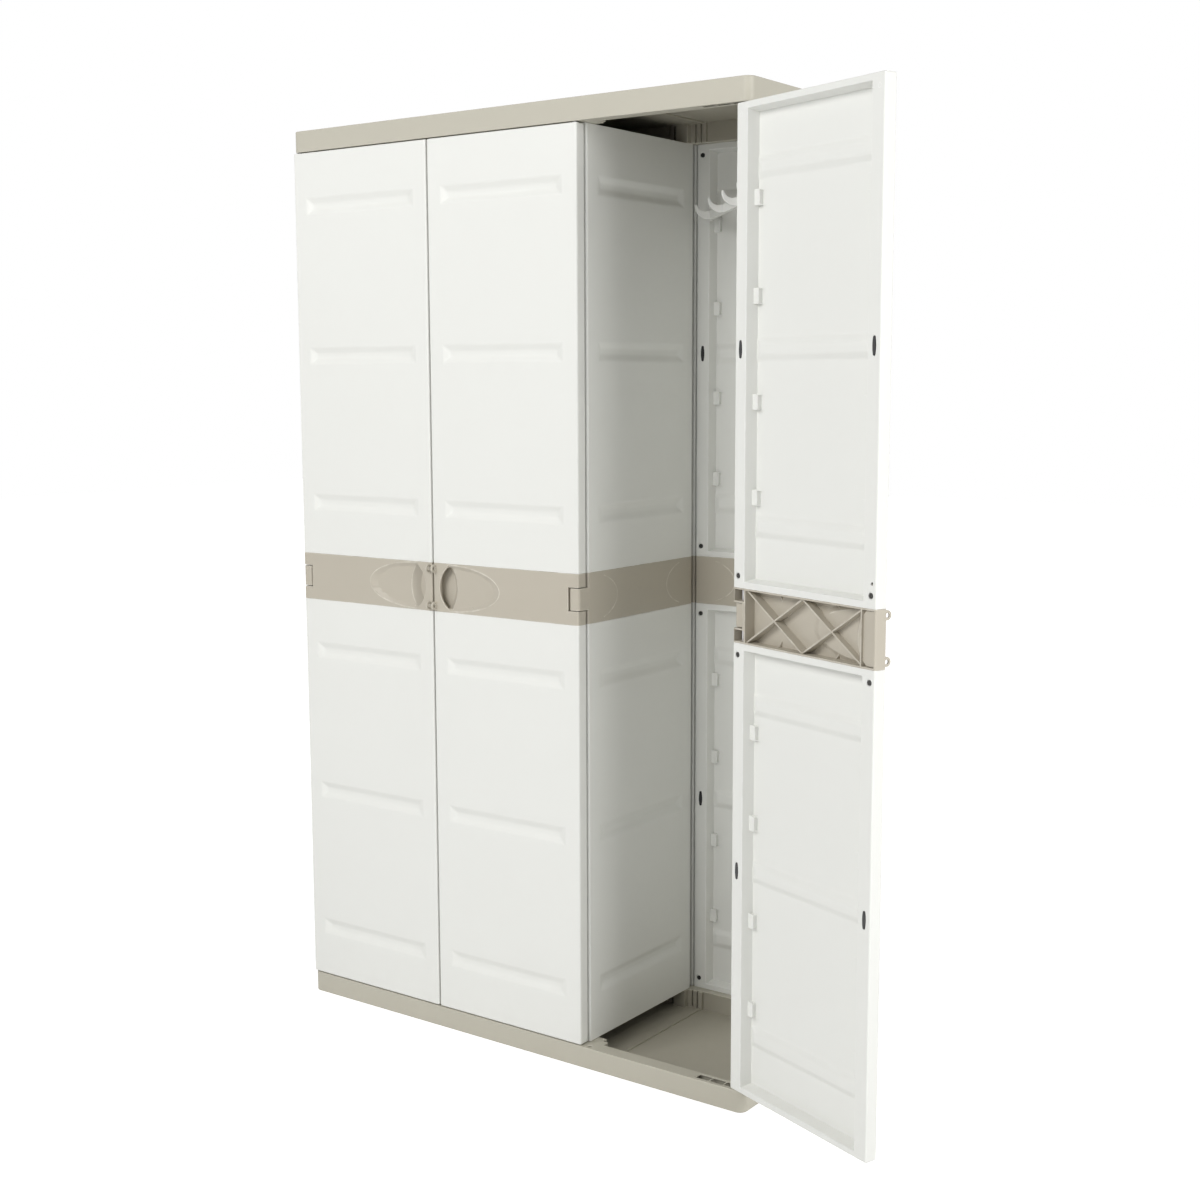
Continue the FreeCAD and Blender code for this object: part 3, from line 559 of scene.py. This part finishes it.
finishes["screws"] = plated_steel(
    "near_black_steel", colour=(0.085, 0.083, 0.08), dull=(0.04, 0.039, 0.037), roughness=0.36
)
finishes["hinge_pins"] = plated_steel(
    "bright_steel", colour=(0.56, 0.56, 0.57), dull=(0.30, 0.29, 0.28), roughness=0.32
)
print("slots with a finish:", sorted(finishes))

# %% [markdown]
# ## Softened edges
# A solid model has knife-sharp edges, and nothing that leaves a mould does. The small radius on an
# edge is what catches the light and makes plastic look like plastic. We could model each radius by
# hand, but the edges are already there, so a Bevel modifier can do all of them at once. It rounds
# each edge as far as a weight says, so first we find the outward edges and weigh them. Thin ribs get
# a smaller weight, or the bevels of their two sides would meet.

# %% Weigh the edges
edge_round = 1.1 * mm
shortest_edge = 0.2 * mm
least_turn = math.radians(30)
room_share = 0.36


def room_beside(edge):
    """The width of the narrower of the two faces that meet at an edge."""
    return min(face.calc_area() / edge.calc_length() for face in edge.link_faces)


def is_outward_corner(edge):
    if edge.calc_length() < shortest_edge or not edge.is_manifold or not edge.is_convex:
        return False
    return edge.calc_face_angle(0) >= least_turn


def weigh_edges(work):
    layer = work.edges.layers.float.new("bevel_weight_edge")
    for edge in work.edges:
        if is_outward_corner(edge):
            edge[layer] = max(0.0, min(1.0, room_share * room_beside(edge) / edge_round))


print("edges that turn by", round(math.degrees(least_turn)), "degrees or more are rounded")

# %% [markdown]
# Shallow channels stiffen every panel. Their slopes run into the panel in a bend so soft that light
# fades across it instead of breaking off. A wider radius on every edge would melt the whole panel,
# so we pick these bends out: they turn by a small angle, and the faces on both sides are broad.
# They are rounded first, by the bevel that mesh code can call directly.

# %% Round the bends of the channels
channel_round = 3.0 * mm
channel_segments = 3
broad_face = 5.0 * mm
slope_least = math.radians(12)
slope_most = math.radians(38)


def is_slope_edge(edge):
    """An edge where a slope leaves a flat by a shallow angle."""
    return edge.is_manifold and slope_least < edge.calc_face_angle(0) < slope_most


def round_channels(work):
    bends = [edge for edge in work.edges if is_slope_edge(edge) and room_beside(edge) > broad_face]
    bmesh.ops.bevel(
        work, geom=bends, offset=channel_round, segments=channel_segments, profile=0.5,
        affect="EDGES", clamp_overlap=False,
    )


print("channel bends:", round(channel_round / mm, 1), "mm")

# %% [markdown]
# A bevel needs tidy input, and the solid model arrives as loose triangles. So we take a copy, weld
# its corners and merge its flat triangles back into whole faces. Only then are its edges the real
# ones, ready to be rounded and weighed.

# %% Weld and merge a copy of a node's mesh
weld_distance = 0.002 * mm
merge_angle = math.radians(0.5)


def tidy_mesh(source, name, channels):
    mesh = source.data.copy()
    mesh.name = name
    work = bmesh.new()
    work.from_mesh(mesh)
    bmesh.ops.remove_doubles(work, verts=work.verts, dist=weld_distance)
    bmesh.ops.dissolve_limit(work, angle_limit=merge_angle, verts=work.verts, edges=work.edges)
    if channels:
        round_channels(work)
    weigh_edges(work)
    work.to_mesh(mesh)
    work.free()
    if "custom_normal" in mesh.attributes:
        mesh.attributes.remove(mesh.attributes["custom_normal"])
    return mesh


print("corners closer than", round(weld_distance / mm, 4), "mm are welded")

# %% [markdown]
# The bevel eats into the big flats and leaves them as odd many-sided faces, some of them cut across
# to get round a hole. They could be left so, but they shade unevenly, and every exporter cuts them
# up in its own way. We take each flat out and fill it again with clean triangles between its own
# outlines. That raises two questions: which faces make up one flat, and which of the new triangles
# lie on it and not in one of its holes.

# %% Find a flat and its inside
flat_tolerance = 0.003 * mm


def flat_region(first, taken):
    """All faces that lie in the first face's plane and touch it or each other."""
    normal = first.normal.copy()
    level = normal.dot(first.verts[0].co)
    region = [first]
    taken.add(first)
    for face in region:
        for edge in face.edges:
            for other in edge.link_faces:
                if other in taken or other.material_index:
                    continue
                if all(abs(normal.dot(v.co) - level) < flat_tolerance for v in other.verts):
                    taken.add(other)
                    region.append(other)
    return region, normal


def inside_outline(spots, triangles, corners, lines):
    """Which triangles lie inside: a ray from their middle crosses the outlines an odd number of times."""
    middle = numpy.array([tuple(spot) for spot in spots])[numpy.array(triangles)].mean(1)
    ends = numpy.array([tuple(corner) for corner in corners])[numpy.array(lines)]
    x0, y0, x1, y1 = ends[:, 0, 0], ends[:, 0, 1], ends[:, 1, 0], ends[:, 1, 1]
    x, y = middle[:, :1], middle[:, 1:]
    spans = (y0 > y) != (y1 > y)
    rise = numpy.where(y1 == y0, 1.0, y1 - y0)
    crossed = spans & (x < x0 + (y - y0) / rise * (x1 - x0))
    return crossed.sum(1) % 2 == 1


print("a flat is level within", round(flat_tolerance / mm, 4), "mm")

# %% [markdown]
# The filling itself is a constrained Delaunay triangulation: it keeps every outline, and of all ways
# to join the corners it finds the one with the plumpest triangles. It works in two dimensions, so
# the corners are laid flat in millimetres for it and its triangles are built on the old corners.

# %% Fill the flats again
line_tolerance = 0.0005


def refill(work, region, normal):
    """Replace the faces of one flat region by clean triangles between its outlines."""
    inside = set(region)
    rim = [e for face in region for e in face.edges if sum(f in inside for f in e.link_faces) == 1]
    across = normal.orthogonal().normalized()
    up = normal.cross(across)
    # A dict keeps its order, as a set does not, so each run picks the same triangles.
    corners = list(dict.fromkeys(v for e in rim for v in e.verts))
    place = {v: index for index, v in enumerate(corners)}
    flat = [Vector((across.dot(v.co), up.dot(v.co))) / mm for v in corners]
    lines = [(place[e.verts[0]], place[e.verts[1]]) for e in rim]
    level = normal.dot(corners[0].co)
    spots, _, triangles, sources = delaunay_2d_cdt(flat, lines, [], 0, line_tolerance)[:4]
    joints = []
    for spot, source in zip(spots, sources):
        if source:
            joints.append(corners[source[0]])
        else:
            joints.append(work.verts.new((across * spot.x + up * spot.y) * mm + normal * level))
    bmesh.ops.delete(work, geom=region, context="FACES_ONLY")
    for triangle, wanted in zip(triangles, inside_outline(spots, triangles, flat, lines)):
        fan = [joints[index] for index in triangle]
        if wanted and len(set(fan)) == 3 and work.faces.get(fan) is None:
            work.faces.new(fan)


def rebuild_flats(mesh):
    """Fill every flat again but the plain four-sided ones, the largest first."""
    work = bmesh.new()
    work.from_mesh(mesh)
    work.normal_update()
    taken = set()
    for face in sorted(work.faces, key=lambda f: -f.calc_area()):
        if not face.is_valid or face in taken or face.material_index:
            continue
        region, normal = flat_region(face, taken)
        if len(region) > 1 or len(face.verts) > 4:
            refill(work, region, normal)
    loose = [e for e in work.edges if not e.link_faces]
    bmesh.ops.delete(work, geom=loose, context="EDGES")
    work.to_mesh(mesh)
    work.free()


print("lines closer than", line_tolerance, "mm are joined")

# %% [markdown]
# Shading comes last. Smooth shading blends the normals over each radius, and an edge that turns
# more than a slope does stays sharp. The faces of each radius are marked for the edge wear and painted
# highlight group, and weighted normals keep the big flats even. On a band the dish of the handle is
# different: its slopes meet the flats in a plain crease, so we find those edges and set them sharp
# one by one.

# %% Creases, shading and the mark on rounded edges
flat_index, radius_index = 0, 1
almost_one = 0.9999
flat_weight = 60


def shade_piece(mesh, rounded):
    """Smooth shading, and each face's value in the `rounded_edge` attribute."""
    mesh.polygons.foreach_set("use_smooth", [True] * len(mesh.polygons))
    mask = mesh.attributes.new("rounded_edge", "FLOAT", "FACE")
    mask.data.foreach_set("value", rounded)


def crease_dish(mesh):
    """On a band, the dish's slopes leave the broad front and meet the dish's floor in a plain crease."""
    work = bmesh.new()
    work.from_mesh(mesh)
    areas = {}
    for face in work.faces:
        way = tuple(round(c, 3) for c in face.normal)
        areas[way] = areas.get(way, 0) + face.calc_area()
    front = Vector(max(areas, key=areas.get)).normalized()
    for edge in filter(is_slope_edge, work.edges):
        slopes = [face for face in edge.link_faces if abs(face.normal.dot(front)) < almost_one]
        if len(slopes) == 1 and 2 * slopes[0].calc_area() / edge.calc_length() > broad_face:
            edge.smooth = False
    work.to_mesh(mesh)
    work.free()


def finish_mesh(piece, dished):
    mesh = piece.data
    on_radius = [flat_index] * len(mesh.polygons)
    mesh.polygons.foreach_get("material_index", on_radius)
    shade_piece(mesh, [float(index) for index in on_radius])
    mesh.polygons.foreach_set("material_index", [flat_index] * len(mesh.polygons))
    mesh.materials.pop(index=radius_index)
    mesh.set_sharp_from_angle(angle=slope_most)
    if dished:
        crease_dish(mesh)
    even = piece.modifiers.new("even_shading", "WEIGHTED_NORMAL")
    even.keep_sharp = True
    even.weight = flat_weight


print("edges sharper than", round(math.degrees(slope_most)), "degrees stay sharp")

# %% [markdown]
# Now the steps come together in one function. The finish goes on twice, so that the Bevel modifier
# can put its new faces in the second slot. That slot only tells the radii from the flats: once
# they are marked, it goes away again.

# %% One function that softens a node
round_segments = 2


def bevelled(piece):
    """The piece's mesh as the Bevel modifier shapes it."""
    bevel = piece.modifiers.new("edge_radius", "BEVEL")
    bevel.width = edge_round
    bevel.segments = round_segments
    bevel.limit_method = "WEIGHT"
    bevel.use_clamp_overlap = False
    bevel.material = radius_index
    shaped = piece.evaluated_get(bpy.context.evaluated_depsgraph_get())
    return bpy.data.meshes.new_from_object(shaped)


def soften(name):
    mesh = tidy_mesh(nodes[name], name + "_moulding", slot_of[name] == "panels")
    mesh.materials.clear()
    mesh.materials.append(finishes[slot_of[name]])
    mesh.materials.append(finishes[slot_of[name]])
    mesh.polygons.foreach_set("material_index", [flat_index] * len(mesh.polygons))
    piece = add_object(name + "_moulding", mesh)
    piece.data = bevelled(piece)
    piece.modifiers.clear()
    rebuild_flats(piece.data)
    finish_mesh(piece, slot_of[name] == "bands")
    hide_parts(name)
    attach(piece, body_of[name])
    return piece


print("softening function ready, radius", round(edge_round / mm, 1), "mm")

# %% [markdown]
# Now every moulded node gets its softened stand-in. Keys, screws and pins are so small, and already
# so close to their real shape, that the solid model's own nodes stay and only change finish.

# %% Soften the mouldings, finish the hardware
small_slots = {"joining_keys", "screws", "hinge_pins"}
mouldings = [soften(name) for name in sorted(nodes) if slot_of[name] not in small_slots]
hardware = [name for name in sorted(nodes) if slot_of[name] in small_slots]
for name in hardware:
    for holder in nodes[name].material_slots:
        holder.material = finishes[slot_of[name]]
print(len(mouldings), "mouldings,", sum(len(piece.data.polygons) for piece in mouldings), "faces")
print(len(hardware), "nodes of keys, screws and pins")

# %% [markdown]
# ## Marks of the mould
# Three kinds of fine raised line are left by the tools that made these parts. A bead runs round the
# oval dish of every door band. Every wall band carries the outline of that oval at both ends. And
# the blank tray end of every door panel shows a small teardrop where a wall panel has its screw. All
# are thin ridges swept along a formula: three points across, one of them lifted, repeated along the
# path. A curve with a bevel could make them too, but half of its round profile would lie inside the
# plastic. The ridges are lower than the padlock eyes, so the dressed cabinet stays in the solid
# one's box.

# %% A ridge swept along a path


def add_ridge(work, path, out, half_width, height, closed=False):
    """Three points across the path, the middle one lifted along `out`, joined to the next three."""
    last = len(path) - 1
    rows = []
    for index, spot in enumerate(path):
        before = path[index - 1] if index or closed else spot
        after = path[(index + 1) % len(path)] if index < last or closed else spot
        side = (after - before).cross(out).normalized() * half_width
        rows.append([work.verts.new(spot + shift) for shift in (side, out * height, -side)])
    pairs = list(zip(rows, rows[1:] + rows[:1]))
    for first, second in pairs if closed else pairs[:-1]:
        for left, right in ((0, 1), (1, 2)):
            work.faces.new((first[left], second[left], second[right], first[right]))


def ridge_piece(name, work, body, slot):
    """Ridges as one piece on a body, marked like a rounded edge all over, so they take the lighter edge
    colour as painted highlight.
    """
    mesh = bpy.data.meshes.new(name)
    work.to_mesh(mesh)
    work.free()
    mesh.materials.append(finishes[slot])
    # Painted highlight: the whole ridge takes the lighter edge colour.
    shade_piece(mesh, [1.0] * len(mesh.polygons))
    piece = add_object(name, mesh)
    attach(piece, body)
    return piece


print("ridge helper ready")

# %% [markdown]
# A wall band has no dish, only the two ends of the same oval as fine lines. Each is an arc of an
# ellipse that bulges away from the band's upright edge, on every face that looks into the cabinet.

# %% Oval lines on the wall bands
oval_reach = 91.0 * mm
oval_half_length = 82.6 * mm
oval_half_height = 44.0 * mm
oval_half_angle = math.radians(62)
oval_steps = 28
line_half_width = 1.2 * mm
line_height = 0.9 * mm


def oval_arc(edge, inward, level):
    """The end of an oval whose tip lies `oval_reach` in from a band's upright edge."""
    centre = edge + inward * (oval_reach - oval_half_length)
    path = []
    for step in range(oval_steps + 1):
        angle = oval_half_angle * (2 * step / oval_steps - 1)
        along = inward * (oval_half_length * math.cos(angle))
        path.append(centre + along + Vector((0, 0, level + oval_half_height * math.sin(angle))))
    return path


def band_faces():
    """The wall bands' faces that look into the cabinet: two corners at floor level, and the way out."""
    faces = []
    for wall, ways in (("left_wall", (1,)), ("partition", (1, -1)), ("right_wall", (-1,))):
        low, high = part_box(wall + "_lower_panel")
        for way in ways:
            x = high.x if way > 0 else low.x
            faces.append((Vector((x, low.y, 0)), Vector((x, high.y, 0)), Vector((way, 0, 0))))
    for wall in ("back_left", "back_middle", "back_right"):
        low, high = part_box(wall + "_lower_panel")
        faces.append((Vector((low.x, low.y, 0)), Vector((high.x, low.y, 0)), Vector((0, -1, 0))))
    return faces


band_level = (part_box("partition_lower_panel")[1].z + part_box("partition_upper_panel")[0].z) / 2
work = bmesh.new()
for start, end, out in band_faces():
    way = (end - start).normalized()
    for edge, inward in ((start, way), (end, -way)):
        add_ridge(work, oval_arc(edge, inward, band_level), out, line_half_width, line_height)
oval_lines = ridge_piece("band_oval_lines", work, "cabinet", "bands")
print(oval_lines.name, len(oval_lines.data.polygons), "faces")

# %% [markdown]
# A door's lines are easiest to draw on the shut door, where its faces lie along the axes. But the
# right door stands open, so we work out the turn that opened it, draw everything as if the door
# were shut, and turn the points afterwards. For the two shut doors that turn is none at all.

# %% Where each door is when it is shut
joints = {joint["child"]: joint for joint in record["behaviour"]["joints"]}


def door_turn(door):
    """How far the door stands open in the photo: the low side of its range, 0 for a shut door."""
    hinge = joints[door]
    turn = -math.radians(hinge["range_deg"][0]) * hinge["axis"][2]
    pivot = Vector(hinge["pos_m"])
    return Matrix.Translation(pivot) @ Matrix.Rotation(turn, 4, "Z") @ Matrix.Translation(-pivot)


def shut_panel(door):
    """The turn that opens the door as in the photo, and its upper panel's corners before that turn."""
    turn = door_turn(door)
    shut = turn.inverted()
    spots = [shut @ vertex.co for vertex in nodes[door + "_upper_panel"].data.vertices]
    return turn, Vector(map(min, *spots)), Vector(map(max, *spots))


print("hinges:", {door: joint["range_deg"] for door, joint in joints.items()})

# %% [markdown]
# The bead of a door band follows its dish just outside the outline: half an ellipse from the top of
# the dish, round towards the hinge, and back to its foot. It starts and ends a little way in from
# the door's free edge, where the pull is.

# %% Beads round the dishes of the door bands
dish_centre = 40.0 * mm
dish_half_length = 122.0 * mm
bead_half_width = 1.0 * mm
bead_height = 0.55 * mm
bead_steps = 48


def bead_door(door):
    turn, low, high = shut_panel(door)
    hinge_left = joints[door]["pos_m"][0] < (low.x + high.x) / 2
    inward = -1 if hinge_left else 1
    free_edge = high.x if hinge_left else low.x
    centre = Vector((free_edge + inward * dish_centre, low.y, band_level))
    path = []
    for step in range(bead_steps + 1):
        angle = math.pi * step / bead_steps
        along = inward * (dish_half_length + bead_half_width) * math.sin(angle)
        up = (oval_half_height + bead_half_width) * math.cos(angle)
        path.append(turn @ (centre + Vector((along, 0, up))))
    work = bmesh.new()
    add_ridge(work, path, turn.to_3x3() @ Vector((0, -1, 0)), bead_half_width, bead_height)
    return ridge_piece(door + "_dish_bead", work, door, "bands")


beads = [bead_door(door) for door in joints]
print("beads:", [bead.name for bead in beads])

# %% [markdown]
# Walls and doors are made of nearly the same panel. Where a wall panel is screwed to its tray, a
# door panel has only the outline of the screw's seat, a teardrop a few millimetres across. There are
# four on the inner side of each door, two at the foot and two at the top.

# %% Teardrops on the doors' blank ends
drop_radius = 3.3 * mm
drop_inset = 12.0 * mm
drop_end_distance = 20.0 * mm
drop_start, drop_sweep = 135, 270
drop_steps = 20
drop_half_width = 0.5 * mm
drop_height = 0.25 * mm


def teardrop(centre):
    """Three quarters of a circle, round the foot, whose ends run up to a point."""
    path = []
    for step in range(drop_steps):
        angle = math.radians(drop_start + drop_sweep * step / (drop_steps - 1))
        path.append(centre + drop_radius * Vector((math.cos(angle), 0, math.sin(angle))))
    path.append(centre + Vector((0, 0, drop_radius * math.sqrt(2))))
    return path


def mark_door(door):
    turn, low, high = shut_panel(door)
    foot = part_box(door + "_lower_panel")[0].z
    out = turn.to_3x3() @ Vector((0, 1, 0))
    work = bmesh.new()
    for x in (low.x + drop_inset, high.x - drop_inset):
        for level in (foot + drop_end_distance, high.z - drop_end_distance):
            path = [turn @ spot for spot in teardrop(Vector((x, high.y, level)))]
            add_ridge(work, path, out, drop_half_width, drop_height, closed=True)
    return ridge_piece(door + "_blank_marks", work, door, "panels")


marks = [mark_door(door) for door in joints]
print("marks:", [mark.name for mark in marks])

# %% [markdown]
# ## Floor and light
# The cabinet stands on a plain white floor in a bright studio. A white sweep is easiest as one large
# plane and a white world behind it. The floor keeps the soft shadow that ties the cabinet to the
# ground. Where it is seen directly, by the camera or in a reflection, the floor also glows, a
# little less near the cabinet and fully from about two metres out, so that it meets the white
# background without a line. That glow adds no light to the cabinet.

# %% Floor
floor_half = 14.0
floor_drop = 0.5 * mm
floor_colour = (0.86, 0.86, 0.86)
floor_roughness = 0.9
glow_fade = {"From Min": 0.7, "From Max": 2.2, "To Min": 0.62, "To Max": 1.0}


def seen_directly(tree):
    """1 for a ray from the camera, a reflection or glass, and 0 for the light that falls on things."""
    path = tree.nodes.new("ShaderNodeLightPath").outputs
    seen = add_math(tree, "ADD", path["Is Camera Ray"], path["Is Glossy Ray"])
    return add_math(tree, "ADD", seen, path["Is Transmission Ray"], clamp=True)


def white_floor():
    material, tree, shader = new_material("white_floor", floor_colour)
    shader.inputs["Base Color"].default_value = (*floor_colour, 1)
    shader.inputs["Roughness"].default_value = floor_roughness
    shader.inputs["Specular IOR Level"].default_value = 0.0
    shader.inputs["Emission Color"].default_value = (1, 1, 1, 1)
    away = tree.nodes.new("ShaderNodeVectorMath")
    away.operation = "LENGTH"
    feed(tree, away.inputs[0], place_on_piece(tree))
    fade = tree.nodes.new("ShaderNodeMapRange")
    feed(tree, fade.inputs["Value"], away.outputs["Value"])
    for label, value in glow_fade.items():
        feed(tree, fade.inputs[label], value)
    glow = add_math(tree, "MULTIPLY", seen_directly(tree), fade.outputs["Result"])
    feed(tree, shader.inputs["Emission Strength"], glow)
    return material


def make_floor():
    mesh = bpy.data.meshes.new("studio_floor")
    corners = [(x * floor_half, y * floor_half, 0) for x, y in ((-1, -1), (1, -1), (1, 1), (-1, 1))]
    mesh.from_pydata(corners, [], [(0, 1, 2, 3)])
    mesh.materials.append(white_floor())
    floor = add_object("studio_floor", mesh)
    floor.location.z = -floor_drop
    return floor


floor = make_floor()
print("floor at z =", round(floor.location.z, 4))

# %% [markdown]
# The light is plain: a dim, even white world fills every side, a big soft lamp high in front of the
# doors shapes the channels, a weak low one reaches into the open compartment, and a third on the
# right brightens every face that looks that way. Big lamps give soft shadows, as a studio tent does.

# %% World and lamps
world_strength = 0.27


def make_world():
    world = bpy.data.worlds.new("white_studio")
    world.use_nodes = True
    tree = world.node_tree
    background = tree.nodes["Background"]
    background.inputs["Color"].default_value = (1, 1, 1, 1)
    level = add_math(tree, "MULTIPLY_ADD", seen_directly(tree), 1.0 - world_strength, world_strength)
    feed(tree, background.inputs["Strength"], level)
    bpy.context.scene.world = world


def soft_lamp(name, spot, target, size, power):
    data = bpy.data.lights.new(name, "AREA")
    data.shape = "RECTANGLE"
    data.size, data.size_y = size
    data.energy = power
    lamp = add_object(name, data)
    lamp.location = spot
    aim = Vector(target) - Vector(spot)
    lamp.rotation_euler = aim.to_track_quat("-Z", "Y").to_euler()
    return lamp


make_world()
lamps = [
    soft_lamp("front_lamp", spot=(-1.0, -4.6, 3.9), target=(0, 0, 0.9), size=(2.6, 2.0), power=155),
    soft_lamp("low_lamp", spot=(0.9, -4.6, 2.2), target=(0.3, 0, 0.9), size=(2.6, 2.0), power=24),
    soft_lamp("right_lamp", spot=(4.4, -0.8, 1.8), target=(0.3, 0, 0.9), size=(1.8, 1.8), power=105),
]
print("lamps:", [(lamp.name, lamp.data.energy) for lamp in lamps])
